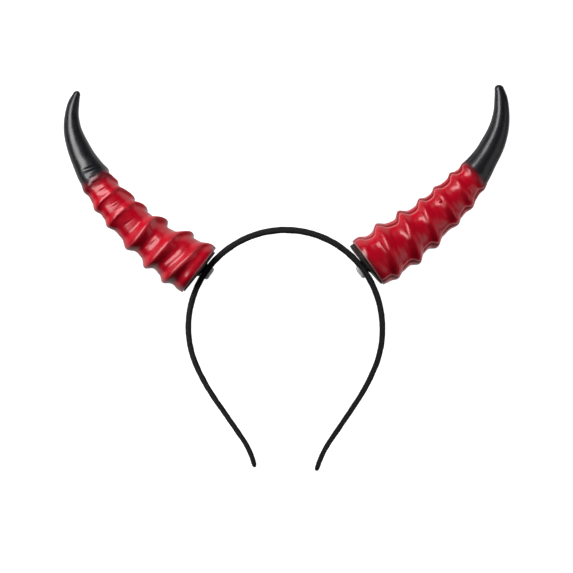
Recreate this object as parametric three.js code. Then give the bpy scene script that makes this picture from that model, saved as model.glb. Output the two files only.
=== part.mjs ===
// Horn headband: a slim cloth-covered hoop that carries two hollow horns with a spiral ridge.
// It is drawn upright, seen from the front, and then laid on the backs of its horns with its front face up.
// Millimetres, +Z up.
import * as THREE from "three";

// Gap that neighbouring pieces keep.
const GAP = 0.3;

// Half of the hoop's centre line, from the crown to one tip. A negative radius bends outward.
const CROWN_RADIUS = 62.1;
const BAND_RUNS = [
  { name: "crown", length: 123.6, radius: CROWN_RADIUS },
  { name: "shoulder", length: 24.3, radius: 130 },
  { name: "arm", length: 30, radius: Infinity },
  { name: "tip", length: 20.6, radius: -52 },
];
// Band section by distance from the crown.
const BAND_SECTIONS = [
  { at: 0, thick: 3.7, wide: 8.6 },
  { at: 100, thick: 3.2, wide: 7.8 },
  { at: 160, thick: 2.8, wide: 6.8 },
  { at: 198.5, thick: 2.6, wide: 6 },
];
const BAND_CORNER = 0.9;
const BAND_TIP_ROUNDING = 2.6;
const BAND_TIP_STEPS = 3;
// Sections in half of the crown arc, counted so that one flat facet is centred on the crown.
const CROWN_STEPS = 22.5;
const BAND_STEPS = { shoulder: 3, arm: 1, tip: 5 };

// Horn centre line, from its base to its tip, curling one way.
const HORN_RUNS = [
  { name: "root", length: 83, radius: 211 },
  { name: "middle", length: 34, radius: 107 },
  { name: "hook", length: 32.5, radius: 45 },
];
// Horn section by distance from the base: mean radius, and how far the ridge rises above and dips below it.
const HORN_SECTIONS = [
  { at: 0, radius: 17.5, ridge: 0.3 },
  { at: 8, radius: 16.9, ridge: 1 },
  { at: 16, radius: 16.8, ridge: 1.5 },
  { at: 31, radius: 15.2, ridge: 1.6 },
  { at: 40, radius: 14.4, ridge: 1.6 },
  { at: 48, radius: 13.5, ridge: 1.3 },
  { at: 57, radius: 12.8, ridge: 1.1 },
  { at: 71, radius: 11.8, ridge: 0.8 },
  { at: 78, radius: 11.2, ridge: 0.8 },
  { at: 84, radius: 10.3, ridge: 0.7 },
  { at: 89, radius: 9.7, ridge: 0.4 },
  { at: 95, radius: 9.1, ridge: 0 },
  { at: 105, radius: 7.9, ridge: 0 },
  { at: 115, radius: 6.9, ridge: 0 },
  { at: 125, radius: 5.6, ridge: 0 },
  { at: 135, radius: 4.4, ridge: 0 },
  { at: 143, radius: 3.4, ridge: 0 },
  { at: 147, radius: 2.5, ridge: 0 },
];
const HORN_LENGTH = 150;
const HORN_WALL = 1.6;
const HORN_SIDES = 18;
// The hollow stops where the horn is too slim for two walls.
const HOLLOW_LENGTH = 132;
// The mouth is cut aslant: its plane leans this far from square to the horn's axis, and the rings
// beyond it come square over the blend's length.
const MOUTH_SLANT = THREE.MathUtils.degToRad(8);
const MOUTH_BLEND = 40;

// Spiral ridge: distance of its crest from the base, turn by turn, where it passes five lines along the horn.
const RIDGE_LENGTH = 95;
const RIDGE_TURNS = [
  { turn: 0, lead: -8, back: -5, outer: -2, front: 0.5, inner: 2.5 },
  { turn: 1, lead: 7.5, back: 10.5, outer: 13.3, front: 16, inner: 17.7 },
  { turn: 2, lead: 24.6, back: 26, outer: 28.2, front: 33.1, inner: 36 },
  { turn: 3, lead: 42.6, back: 43.3, outer: 43.6, front: 48.3, inner: 52.6 },
  { turn: 4, lead: 59.8, back: 61.4, outer: 61.1, front: 62.8, inner: 65.6 },
  { turn: 5, lead: 73, back: 74.7, outer: 73.6, front: 77, inner: 80 },
  { turn: 6, lead: 86, back: 87.7, outer: 86.9, front: 88.6, inner: 91 },
  { turn: 7, lead: 98, back: 100, outer: 100, front: 101, inner: 103 },
];
// Shares of a turn at which the ridge passes those lines, counted from the inner side of the curl.
const RIDGE_LINES = { lead: 1 / 12, back: 1 / 4, outer: 1 / 2, front: 3 / 4, inner: 1 };
// Share of the way from one crest to the next at which the trough lies: the base side is the steeper one.
const RIDGE_FALL = 0.57;
const RIDGE_SHARPNESS = 1.4;
const RIDGE_SPACING = 2.2;
const SMOOTH_SPACING = 6;
const HORN_TIP_STEPS = 3;

// How each horn sits on the hoop: where round the hoop, how far out its mouth is and which way it points.
// Angles in degrees above the horizontal.
const SIDES = [
  { name: "right", turn: 0, seatAngle: 38.3, mouthDistance: 67.3, hornAngle: 27.2 },
  { name: "left", turn: Math.PI, seatAngle: 33.4, mouthDistance: 66.8, hornAngle: 29.3 },
];
const PLATE_INSET = 0.4;
const PLATE_THICKNESS = 1.1;
const PLATE_SIDES = 36;
const STUB_LENGTH = 8.4;
const STUB_FLARE = 0.8;
const STUB_WIDTH = 7.4;
const PAD_LENGTH = 8.8;
const PAD_WIDTH = 7.2;
const PAD_HEIGHT = 2.4;
const PAD_STEPS = 5;
const PAD_SIDES = 16;

// The piece lies on its horns: the horns' tips dip this far, and one side sits a little lower.
const REST_PITCH = THREE.MathUtils.degToRad(8.26);
const REST_ROLL = THREE.MathUtils.degToRad(-0.23);

const ribbonBlack = new THREE.MeshStandardMaterial({ color: 0x19191b, roughness: 0.85, metalness: 0 });
const hornRed = new THREE.MeshStandardMaterial({ color: 0xb5121f, roughness: 0.3, metalness: 0 });
const plateBrown = new THREE.MeshStandardMaterial({ color: 0x2a1a18, roughness: 0.6, metalness: 0 });
const stubBlack = new THREE.MeshStandardMaterial({ color: 0x141416, roughness: 0.6, metalness: 0 });
const glueGrey = new THREE.MeshStandardMaterial({ color: 0x97979c, roughness: 0.35, metalness: 0 });

// Value of one named column, read between the rows of a table.
function column(table, name, at) {
  const next = table.findIndex((row) => row.at >= at);
  if (next === 0) return table[0][name];
  if (next < 0) return table[table.length - 1][name];
  const share = (at - table[next - 1].at) / (table[next].at - table[next - 1].at);
  return THREE.MathUtils.lerp(table[next - 1][name], table[next][name], share);
}

// Place and heading after a distance along arcs that follow each other smoothly from the origin along +X.
function alongRuns(runs, distance) {
  const place = new THREE.Vector2();
  let heading = 0;
  let left = distance;
  for (const [index, run] of runs.entries()) {
    const length = index < runs.length - 1 ? Math.min(left, run.length) : left;
    const turn = length / run.radius;
    const chord = turn === 0 ? length : 2 * run.radius * Math.sin(turn / 2);
    place.x += chord * Math.cos(heading + turn / 2);
    place.y += chord * Math.sin(heading + turn / 2);
    heading += turn;
    left -= length;
    if (left <= 0) break;
  }
  return { place, heading };
}

// Closed skin through rings of equal length, with a flat fan over the first and the last.
function loft(rings) {
  const sides = rings[0].length;
  const positions = rings.flat().flatMap((point) => point.toArray());
  const triangles = [];
  for (let ring = 0; ring < rings.length - 1; ring += 1) {
    for (let side = 0; side < sides; side += 1) {
      const here = ring * sides + side;
      const beside = ring * sides + ((side + 1) % sides);
      triangles.push(here, beside, beside + sides, here, beside + sides, here + sides);
    }
  }
  for (const [ring, flip] of [[0, true], [rings.length - 1, false]]) {
    const middle = new THREE.Vector3();
    rings[ring].forEach((point) => middle.addScaledVector(point, 1 / sides));
    const hub = positions.length / 3;
    positions.push(...middle.toArray());
    for (let side = 0; side < sides; side += 1) {
      const here = ring * sides + side;
      const beside = ring * sides + ((side + 1) % sides);
      triangles.push(...(flip ? [beside, here, hub] : [here, beside, hub]));
    }
  }
  const geometry = new THREE.BufferGeometry();
  geometry.setAttribute("position", new THREE.Float32BufferAttribute(positions, 3));
  geometry.setIndex(triangles);
  geometry.computeVertexNormals();
  return geometry;
}

// Distances from the crown at which half of the band gets a section.
function bandStations() {
  const crown = BAND_RUNS[0].length;
  const stations = [];
  for (let step = 0.5; step <= CROWN_STEPS; step += 1) stations.push((crown * step) / CROWN_STEPS);
  let start = crown;
  for (const run of BAND_RUNS.slice(1)) {
    const steps = BAND_STEPS[run.name];
    const end = run.name === "tip" ? run.length - BAND_TIP_ROUNDING : run.length;
    for (let step = 1; step <= steps; step += 1) stations.push(start + (end * step) / steps);
    start += run.length;
  }
  const straight = start - BAND_TIP_ROUNDING;
  for (let step = 1; step <= BAND_TIP_STEPS; step += 1) {
    stations.push(straight + BAND_TIP_ROUNDING * Math.sin((step / (BAND_TIP_STEPS + 0.5)) * (Math.PI / 2)));
  }
  return stations;
}

// Band section at a distance from the crown: a chamfered strip, flat inside and out, with a round tip.
function bandRing(distance, side) {
  const { place, heading } = alongRuns(BAND_RUNS, distance);
  const total = BAND_RUNS.reduce((sum, run) => sum + run.length, 0);
  const fromEnd = Math.min(1, (total - distance) / BAND_TIP_ROUNDING);
  const shrink = Math.sqrt(1 - (1 - fromEnd) ** 2);
  const halfThick = (column(BAND_SECTIONS, "thick", distance) / 2) * shrink;
  const halfWide = (column(BAND_SECTIONS, "wide", distance) / 2) * shrink;
  const corner = BAND_CORNER * shrink;
  const outline = [
    [halfThick, halfWide - corner],
    [halfThick - corner, halfWide],
    [corner - halfThick, halfWide],
    [-halfThick, halfWide - corner],
    [-halfThick, corner - halfWide],
    [corner - halfThick, -halfWide],
    [halfThick - corner, -halfWide],
    [halfThick, corner - halfWide],
  ];
  // The runs start at the crown and turn towards the hoop's inside, which is below.
  return outline.map(([out, front]) => {
    const x = place.x + Math.sin(heading) * out;
    const y = CROWN_RADIUS - place.y + Math.cos(heading) * out;
    return new THREE.Vector3(side * x, y, front);
  });
}

function bandGeometry() {
  const stations = bandStations();
  const leftHalf = stations.toReversed().map((distance) => bandRing(distance, -1));
  const rightHalf = stations.map((distance) => bandRing(distance, 1));
  return loft([...leftHalf, ...rightHalf]);
}

// Path of the ridge's crest: turns along it against the distance from the horn's base.
const ridgePath = RIDGE_TURNS.flatMap((row) =>
  Object.entries(RIDGE_LINES).map(([name, share]) => ({ at: row.turn + share, crest: row[name] })));

// How far a point of the horn is from the crest below it to the next one, from 0 to 1.
function ridgePhase(distance, angle) {
  const crests = RIDGE_TURNS.map(({ turn }) => column(ridgePath, "crest", turn + 1 - angle / (2 * Math.PI)));
  const next = crests.findIndex((crest) => crest > distance);
  if (next <= 0) return 0;
  return (distance - crests[next - 1]) / (crests[next] - crests[next - 1]);
}

// Height of the ridge between two crests, from -1 in the trough to 1 on the crest.
function ridgeWave(phase) {
  const fall = phase / RIDGE_FALL;
  const rise = (1 - phase) / (1 - RIDGE_FALL);
  const height = (1 + Math.cos(Math.PI * Math.min(fall, rise))) / 2;
  return 2 * height ** RIDGE_SHARPNESS - 1;
}

// Point on the horn at a distance from its base and an angle round it, drawn in by a depth.
// Angle 0 is the inner side of the curl.
function hornPoint(distance, angle, depth) {
  const radius = column(HORN_SECTIONS, "radius", distance);
  const ridge = column(HORN_SECTIONS, "ridge", distance);
  const fromAxis = radius + ridge * ridgeWave(ridgePhase(distance, angle)) - depth;
  const blend = Math.max(0, 1 - distance / MOUTH_BLEND);
  const slant = blend * Math.tan(MOUTH_SLANT) * fromAxis * Math.cos(angle);
  const { place, heading } = alongRuns(HORN_RUNS, distance);
  const inward = fromAxis * Math.cos(angle);
  return new THREE.Vector3(
    place.x - Math.sin(heading) * inward - Math.cos(heading) * slant,
    place.y + Math.cos(heading) * inward - Math.sin(heading) * slant,
    fromAxis * Math.sin(angle),
  );
}

function hornRing(distance, depth) {
  return Array.from({ length: HORN_SIDES }, (_, side) =>
    hornPoint(distance, (side / HORN_SIDES) * 2 * Math.PI, depth));
}

// Distances along the horn at which it gets a ring: close together on the ridge, wider on the smooth tip.
function hornStations(end) {
  const ridged = Math.round(RIDGE_LENGTH / RIDGE_SPACING);
  const smooth = Math.round((end - RIDGE_LENGTH) / SMOOTH_SPACING);
  const stations = [];
  for (let step = 0; step < ridged; step += 1) stations.push((RIDGE_LENGTH * step) / ridged);
  for (let step = 0; step <= smooth; step += 1) {
    stations.push(RIDGE_LENGTH + ((end - RIDGE_LENGTH) * step) / smooth);
  }
  return stations;
}

// Hollow horn: the inner skin down to the mouth, round the rim, and the outer skin up to a round tip.
function hornGeometry() {
  const last = HORN_SECTIONS[HORN_SECTIONS.length - 1];
  const inner = hornStations(HOLLOW_LENGTH).toReversed().map((distance) => hornRing(distance, HORN_WALL));
  const outer = hornStations(last.at).map((distance) => hornRing(distance, 0));
  for (let step = 1; step <= HORN_TIP_STEPS; step += 1) {
    const turn = (step / (HORN_TIP_STEPS + 0.5)) * (Math.PI / 2);
    const distance = last.at + (HORN_LENGTH - last.at) * Math.sin(turn);
    outer.push(hornRing(distance, last.radius * (1 - Math.cos(turn))));
  }
  return loft([...inner, ...outer]);
}

// Disc over the mouth, square to +X and behind x = 0.
function plateGeometry() {
  const radius = HORN_SECTIONS[0].radius - PLATE_INSET;
  const disc = new THREE.CylinderGeometry(radius, radius, PLATE_THICKNESS, PLATE_SIDES);
  return disc.rotateZ(-Math.PI / 2).translate(-PLATE_THICKNESS / 2, 0, 0);
}

// Block from the band's outer face to the base plate, whose plane leans along the band.
function stubGeometry(bandFace, plateFace, plateNormal) {
  const corners = [[-1, -1], [1, -1], [1, 1], [-1, 1]];
  const onBand = corners.map(([along, across]) =>
    new THREE.Vector3(bandFace, (along * STUB_LENGTH) / 2, (across * STUB_WIDTH) / 2));
  const onPlate = corners.map(([along, across]) => {
    const y = along * (STUB_LENGTH / 2 + STUB_FLARE);
    const z = (across * STUB_WIDTH) / 2;
    const x = plateFace - (plateNormal.y / plateNormal.x) * y;
    return new THREE.Vector3(x, y, z);
  });
  return loft([onBand, onPlate]);
}

// Low dome, flat on the side that faces the band and standing towards -X.
function padGeometry() {
  const profile = [new THREE.Vector2(0, 0)];
  for (let step = 0; step <= PAD_STEPS; step += 1) {
    const turn = (step / PAD_STEPS) * (Math.PI / 2);
    profile.push(new THREE.Vector2((PAD_LENGTH / 2) * Math.cos(turn), PAD_HEIGHT * Math.sin(turn)));
  }
  const dome = new THREE.LatheGeometry(profile, PAD_SIDES).rotateZ(Math.PI / 2);
  return dome.scale(1, 1, PAD_WIDTH / PAD_LENGTH);
}

function addMesh(group, name, geometry, material) {
  const mesh = new THREE.Mesh(geometry, material);
  mesh.name = name;
  group.add(mesh);
  return mesh;
}

// Pad, stub, plate and horn of one side. The left side is the right one turned half round the upright axis.
function hornSide(side, horn) {
  const seatAngle = THREE.MathUtils.degToRad(side.seatAngle);
  const hornAngle = THREE.MathUtils.degToRad(side.hornAngle);
  const lean = hornAngle + MOUTH_SLANT - seatAngle;
  const bandHalf = column(BAND_SECTIONS, "thick", CROWN_RADIUS * (Math.PI / 2 - seatAngle)) / 2;
  const whole = new THREE.Group();
  whole.rotation.y = side.turn;

  // +X of the seat points straight out of the hoop.
  const seat = new THREE.Group();
  seat.rotation.z = seatAngle;
  whole.add(seat);
  const pad = addMesh(seat, `glue_pad_${side.name}`, padGeometry(), glueGrey);
  // The band's inner face curves towards the ends of the pad's flat back.
  const padHollow = (PAD_LENGTH / 2) ** 2 / (2 * CROWN_RADIUS);
  pad.position.x = CROWN_RADIUS - bandHalf - padHollow - GAP;

  // The mouth's plane is square to +X of its own group.
  const mouth = new THREE.Group();
  mouth.position.x = side.mouthDistance;
  mouth.rotation.z = lean;
  seat.add(mouth);
  const plate = addMesh(mouth, `base_plate_${side.name}`, plateGeometry(), plateBrown);
  plate.position.x = -GAP;
  const plateNormal = new THREE.Vector3(1, 0, 0).applyEuler(mouth.rotation);
  const plateFace = side.mouthDistance - (PLATE_THICKNESS + 2 * GAP) / plateNormal.x;
  const stub = stubGeometry(CROWN_RADIUS + bandHalf + GAP, plateFace, plateNormal);
  addMesh(seat, `mount_stub_${side.name}`, stub, stubBlack);
  const shell = addMesh(mouth, `horn_shell_${side.name}`, horn, hornRed);
  shell.rotation.z = -MOUTH_SLANT;
  return whole;
}

const upright = new THREE.Group();
addMesh(upright, "headband", bandGeometry(), ribbonBlack);
const horn = hornGeometry();
for (const side of SIDES) upright.add(hornSide(side, horn));
upright.rotation.set(-REST_PITCH, REST_ROLL, 0);

// Origin under the middle of the whole piece, on the surface that it lies on.
const headpiece = new THREE.Group();
headpiece.add(upright);
const box = new THREE.Box3().setFromObject(headpiece, true);
const middle = box.getCenter(new THREE.Vector3());
upright.position.set(-middle.x, -middle.y, -box.min.z);

export default headpiece;
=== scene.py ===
"""Looks of a horn headband that lies on a pale floor, seen square to the face of its hoop.

Shapes are worked out upright in millimetres, as in the CAD source, and laid down in metres at the end.
"""
import math

import bpy
import numpy as np
from mathutils import Matrix, Vector


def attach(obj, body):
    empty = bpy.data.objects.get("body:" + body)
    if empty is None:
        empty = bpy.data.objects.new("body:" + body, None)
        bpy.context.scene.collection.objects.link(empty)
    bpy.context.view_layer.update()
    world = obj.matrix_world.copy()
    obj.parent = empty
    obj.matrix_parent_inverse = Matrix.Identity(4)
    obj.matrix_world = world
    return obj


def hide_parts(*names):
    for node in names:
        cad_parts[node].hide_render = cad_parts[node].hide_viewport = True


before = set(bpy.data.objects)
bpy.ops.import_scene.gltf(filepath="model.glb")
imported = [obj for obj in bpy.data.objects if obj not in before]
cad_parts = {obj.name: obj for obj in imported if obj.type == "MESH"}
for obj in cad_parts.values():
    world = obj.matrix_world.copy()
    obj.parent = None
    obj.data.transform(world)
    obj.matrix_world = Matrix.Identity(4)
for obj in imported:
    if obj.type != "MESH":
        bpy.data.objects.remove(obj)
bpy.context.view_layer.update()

MM = 0.001

# How the upright piece lies: turned about X, then about its own Y, in degrees, with the hoop's centre at
# this place in mm.
REST_PITCH = -8.26
REST_ROLL = -0.23
HOOP_CENTRE = (-0.24, -31.991, 24.77)

# Half of the hoop's centre line from the crown to one tip, as lengths and radii: crown, shoulder, arm
# and tip. A negative radius bends outward.
CROWN_RADIUS = 62.1
BAND_RUNS = (
    dict(length=123.6, radius=CROWN_RADIUS),
    dict(length=24.3, radius=130),
    dict(length=30, radius=math.inf),
    dict(length=20.6, radius=-52),
)
# Band section by distance from the crown.
BAND_SECTIONS = (
    dict(at=0, thick=4.1, wide=8.6),
    dict(at=100, thick=3.6, wide=7.8),
    dict(at=160, thick=3.25, wide=6.8),
    dict(at=198.5, thick=3, wide=6),
)
BAND_TIP_ROUNDING = 2.6
BAND_TIP_STEPS = 8
# How much further out and down the right arm stands than the left, by distance from the crown.
RIGHT_ARM = (
    dict(at=0, out=0, down=0),
    dict(at=95, out=0, down=0),
    dict(at=160, out=1.7, down=0.5),
    dict(at=180, out=1.5, down=1),
    dict(at=198.5, out=0.2, down=2.3),
)
BAND_SPACING = 0.6
BAND_SIDES = 56
# The section is a rounded rectangle: the higher this power, the squarer.
BAND_SQUARENESS = 5
# The ribbon laps along the inner face, which starts at this share of half the thickness. The lap lies
# this far in front of the middle and wavers, and the waver's phase moves on by one radian in its length.
INNER_FACE = -0.6
RIBBON_THICKNESS = 0.16
LAP_OFFSET = 0.5
LAP_WAVER = 0.3
LAP_WAVER_LENGTH = 17
LAP_SOFTNESS = 0.15
# Soft unevenness of the ribbon. It fades where half the band is thinner than this.
RIBBON_WAVES = (
    dict(seed=31, depth=0.05, size=9),
    dict(seed=32, depth=0.04, size=3.5),
)
RIBBON_FADE = 0.4
# Way round the ribbon, and the spacing of its ribs and threads.
RIBBON_ROUND = 22
RIB_SPACING = 0.55
THREAD_SPACING = 0.4

# Horn centre line from its base to its hook, whose radius differs from side to side.
HORN_RUNS = (
    dict(length=83, radius=211),
    dict(length=34, radius=107),
)
# Horn section by distance from the base: mean radius, and how far the ridge rises above and dips below it.
HORN_SECTIONS = (
    dict(at=0, radius=16.7, ridge=0.3),
    dict(at=3, radius=17.35, ridge=0.5),
    dict(at=8, radius=16.9, ridge=1),
    dict(at=16, radius=16.8, ridge=1.5),
    dict(at=31, radius=15.2, ridge=1.6),
    dict(at=40, radius=14.4, ridge=1.6),
    dict(at=48, radius=13.5, ridge=1.3),
    dict(at=57, radius=12.8, ridge=1.1),
    dict(at=71, radius=11.8, ridge=0.8),
    dict(at=78, radius=11.2, ridge=0.8),
    dict(at=84, radius=10.3, ridge=0.7),
    dict(at=89, radius=9.7, ridge=0.4),
    dict(at=95, radius=9.1, ridge=0),
    dict(at=105, radius=7.9, ridge=0),
    dict(at=115, radius=6.9, ridge=0),
    dict(at=125, radius=5.6, ridge=0),
    dict(at=135, radius=4.4, ridge=0),
    dict(at=143, radius=3.4, ridge=0),
    dict(at=147, radius=2.5, ridge=0),
)
HORN_LENGTH = 150
HORN_WALL = 1.6
HOLLOW_LENGTH = 132
# The slant of the mouth fades out over this distance.
MOUTH_BLEND = 40
RIM_ROUNDING = 0.5
HORN_SPACING = 0.4
HORN_SIDES = 132
HORN_TIP_STEPS = 10
INNER_SPACING = 5
# Steps of a rounded edge.
EDGE_STEPS = 4

# Spiral ridge: distance of its crest from the base, turn by turn, where it passes lines along the horn.
# On the outer and inner side of the curl, under and over are the right horn's.
RIDGE_TURNS = (
    dict(turn=0, lead=-8, back=-5, outer=-2, front=0.5, under=-6.5, inner=2.5, over=4.3),
    dict(turn=1, lead=7.5, back=10.5, outer=13.3, front=16, under=9, inner=19.4, over=19.8),
    dict(turn=2, lead=24.6, back=26, outer=28.2, front=33.1, under=26.4, inner=37.5, over=36),
    dict(turn=3, lead=42.6, back=43.3, outer=44.4, front=48.3, under=41.8, inner=54.6, over=52.6),
    dict(turn=4, lead=59.8, back=61.4, outer=62.2, front=62.8, under=60, inner=65.6, over=65.6),
    dict(turn=5, lead=73, back=74.7, outer=74.2, front=77, under=73.2, inner=80, over=80),
    dict(turn=6, lead=86, back=87.7, outer=86.9, front=88.6, under=86.9, inner=91, over=91),
    dict(turn=7, lead=98, back=100, outer=100, front=101, under=100, inner=103, over=103),
)
# Shares of a turn at which the ridge passes those lines, counted from the inner side of the curl.
RIDGE_LINES = dict(lead=1 / 12, back=1 / 4, outer=1 / 2, under=1 / 2, front=3 / 4, inner=1, over=1)
# Height of the ridge from one crest to the next: a short steep fall, a flat trough and a rise to a sharp
# crest.
RIDGE_PROFILE = (
    dict(at=0, height=1),
    dict(at=0.06, height=0.86),
    dict(at=0.16, height=0.2),
    dict(at=0.28, height=-0.6),
    dict(at=0.42, height=-0.86),
    dict(at=0.62, height=-1),
    dict(at=0.72, height=-0.78),
    dict(at=0.84, height=0.05),
    dict(at=0.94, height=0.8),
    dict(at=1, height=1),
)
# Share by which the ridge is shallower on one side of the horn's upper half.
RIDGE_SHALLOW = 0.45
# Waves by which the ridge strays, as deep as this share of a turn, and by which its height varies, by
# this share.
RIDGE_STRAYS = dict(seed=3, depth=0.018, size=22)
RIDGE_VARIES = dict(seed=4, depth=0.12, size=34)
# Share of a turn over which the painted highlight lies along the crest.
CREST_WIDTH = 0.05
# How dark the foot of the ridge's rise is.
FOOT_SHADE = 0.6

# Where a change of the horn fades in and out. Each pair says where it is nil and where it is whole.
# Along the horn, in mm from its base.
HOLLOW_STRETCH = ((18, 28), (90, 80))
FLAT_STRETCH = ((17, 10),)
BULK_STRETCH = ((104, 84),)
TIP_STRETCH = ((95, 115),)
SHORT_STRETCH = ((100, HORN_LENGTH),)
SHALLOW_STRETCH = ((46, 60),)
GENTLE_STRETCH = ((14, 20), (54, 40))
SMOOTH_STRETCH = ((86, 98),)
# Round the horn, by the cosine of the angle, which is 1 on the inner side of the curl and -1 on the outer.
HOLLOW_SECTOR = ((0.1, 0.9),)
FLAT_SECTOR = ((0.5, 1),)
STEEP_SECTOR = ((0.2, 0.9),)
OUTER_SECTOR = ((-0.2, -0.9),)
FOOT_SECTOR = ((0.3, -0.2),)
# Round the horn, by the sine of the angle, which is -1 on the left horn's front and 1 on the right one's.
LEFT_FRONT_SECTOR = ((-0.4, -0.9),)
# From crest to crest, in shares of a turn.
STEEP_PHASE = ((0.4, 0.75), (1, 0.9))
GENTLE_PHASE = ((0.4, 0.65), (1, 0.7))
FOOT_PHASE = ((0.62, 0.8), (1, 0.9))

# Faint waves of the skin, how many times shorter they are along the horn than round it, and the share of
# them that is left on the smooth tip.
SKIN_WAVES = dict(seed=5, depth=0.07, size=24)
SKIN_SHORTER = 2.4
SKIN_ON_TIP = 4 / 7
# Faint streaks along the ridge, their width as a share of their length, and the usual distance between
# turns.
STREAKS = dict(seed=6, depth=0.09, size=3.6)
STREAK_SLIMNESS = 0.3
RIDGE_PITCH = 15
# Fine grooves along the ridge: distance from the base, angle round the axis and reach to either side in
# degrees, depth and width in mm.
GROOVES = (
    dict(at=13.4, angle=72, reach=26, depth=0.28, width=0.4),
    dict(at=30.9, angle=68, reach=26, depth=0.28, width=0.4),
    dict(at=46.4, angle=72, reach=28, depth=0.28, width=0.4),
    dict(at=88, angle=58, reach=22, depth=0.14, width=0.4),
    dict(at=34.2, angle=262, reach=30, depth=0.16, width=0.5),
    dict(at=54, angle=258, reach=32, depth=0.16, width=0.4),
    dict(at=65.2, angle=262, reach=30, depth=0.14, width=0.4),
    dict(at=67.4, angle=268, reach=24, depth=0.2, width=0.35),
    dict(at=69, angle=272, reach=26, depth=0.16, width=0.35),
    dict(at=77, angle=258, reach=28, depth=0.12, width=0.35),
    dict(at=80.6, angle=264, reach=36, depth=0.2, width=0.45),
    dict(at=87.2, angle=264, reach=40, depth=0.26, width=0.5),
    dict(at=90.6, angle=266, reach=40, depth=0.2, width=0.45),
    dict(at=94.6, angle=270, reach=60, depth=0.5, width=0.6),
    dict(at=96.4, angle=275, reach=55, depth=0.4, width=0.55),
)
# How much further from the base a groove is for each degree round the horn, and over which share of its
# reach it fades.
GROOVE_SLANT = -0.035
GROOVE_FADE = 0.6
# Small flaw of the casting: distance from the base, angle round the axis in degrees, depth and radius,
# height of the lip round it, and in radii where the lip is, how wide it is and how far the painted shade
# in the pit reaches.
FLAW = dict(at=61, angle=70, depth=1, radius=0.9, lip=0.25, lip_at=1.6, lip_width=0.5, dark=5 / 6)
# The casting's two halves meet along two lines, at these angles in degrees round the axis, further apart
# on the ridge. The half between them stands proud by a step, with a fine lip along its edge.
SEAM_ANGLES = (31, 149)
SEAM_SWING = 6
SEAM_STEP = 0.3
SEAM_BLEND = 0.5
SEAM_LIP = 0.12
SEAM_LIP_INSIDE = 0.4
SEAM_LIP_WIDTH = 0.5
# The seams waver by these degrees, and a waver's phase moves on by one radian in its length.
SEAM_WAVERS = (
    dict(degrees=1.3, length=7),
    dict(degrees=0.8, length=2.9),
)
# Step and lip are finer where the horn is thinner than this radius.
SEAM_FULL_RADIUS = 9
# A painted highlight lies on the edge inside the seam and painted shade on the skin outside it, by
# distance inside the seam.
SEAM_HIGHLIGHT = 0.7
SEAM_SHADE = ((0.1, -0.5), (-4.5, -1.8))
# The mesh is finer at a seam: steps in degrees to either side, and how close other points may come.
SEAM_FINE_STEP = 0.8
SEAM_FINE_COUNT = 4
SEAM_CLEARANCE = 0.7

# How the two sides differ, with angles in degrees.
# turn brings the right side's places over to the left. seat, stub and pad are places round the hoop,
# slant is the mouth's, and horn is the lean of the horn at its base.
# mouth is how far the mouth is from the hoop's centre, hook is the radius of the tip's bend, and short is
# how much the tip is drawn back.
# paint is where the red ends, paint_slant how much later on the inner side of the curl, and paint_blur
# how softly.
# hollow is cut from the inner side of the curl, flat from there by the mouth. bulk is added on the inner
# and outer side, tip on the outer side of the hook, crest to the ridge's crests on the outer side.
# wedge is how much thicker one edge of the plate is, plate_cut how far it is drawn in there.
# The key after plate_cut sets how strong the painted highlight along the crests is. steeper and gentler
# are shares of a turn by which the rise of the ridge comes later or sooner. ridge_lines are the lines that
# the ridge is drawn through.
SIDES = (
    dict(
        name="right", turn=0, seat=38.3, stub=37.3, pad=36, slant=8.5, horn=27.2,
        mouth=66.6, hook=50, short=-1.2,
        paint=88.8, paint_slant=2, paint_blur=1.7,
        hollow=0, flat=1.6, bulk=0.85, tip=1.1, crest=0,
        wedge=2.2, plate_cut=1.6, crest_highlight=0.2, steeper=0, gentler=0,
        ridge_lines=("under", "front", "over"),
    ),
    dict(
        name="left", turn=180, seat=33.4, stub=34.8, pad=35.1, slant=8, horn=29.3,
        mouth=66, hook=39.3, short=0.9,
        paint=86.5, paint_slant=0, paint_blur=2.6,
        hollow=2, flat=0, bulk=0.55, tip=0, crest=0.5,
        wedge=0.7, plate_cut=1.5, crest_highlight=0.4, steeper=0.12, gentler=0.06,
        ridge_lines=("lead", "back", "outer", "front", "inner"),
    ),
)
# Glued faces are this far apart.
GAP = 0.05
PLATE_RADIUS = 16.5
PLATE_THICKNESS = 0.7
PLATE_BEVEL = 0.2
PLATE_SIDES = 144
PLATE_RINGS = 6
PLATE_RING_SPACING = 2.5
# The plate's edge is a little uneven, by waves round it: share of the radius, count and start.
PLATE_WAVES = (
    dict(share=0.006, count=3, start=1),
    dict(share=0.004, count=7, start=0),
)
STUB_LENGTH = 9.4
STUB_FLARE = 1.2
STUB_WIDTH = 7.4
# Stub from the band to the plate: share of the way and size there.
STUB_PROFILE = (
    dict(at=0, size=0.6),
    dict(at=0, size=0.94),
    dict(at=0.04, size=1),
    dict(at=0.12, size=0.99),
    dict(at=0.3, size=0.97),
    dict(at=0.5, size=0.965),
    dict(at=0.7, size=0.97),
    dict(at=0.88, size=0.99),
    dict(at=0.96, size=1),
    dict(at=1, size=0.94),
    dict(at=1, size=0.6),
)
STUB_SQUARENESS = 5
PAD_LENGTH = 8.8
PAD_WIDTH = 7.2
PAD_HEIGHT = 2
PAD_SQUARENESS = 3.6
PAD_STEPS = 13
# The pad swells with these powers of a quarter turn's sine and cosine. Its back is closed by rings of
# these sizes.
PAD_RISE_POWER = 0.8
PAD_SIZE_POWER = 0.38
PAD_BACK = (0.4, 0.8, 0.95)
# Waves of its skin by share of the height. The seed is moved on by the side's turn.
PAD_SEED = 41
PAD_WAVES = dict(depth=0.08, size=6)
BLOCK_SIDES = 64

# Random relief is a sum of this many waves, whose lengths vary between these multiples.
RIPPLE_WAVES = 10
RIPPLE_LENGTHS = (0.7, 1.4)

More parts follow.
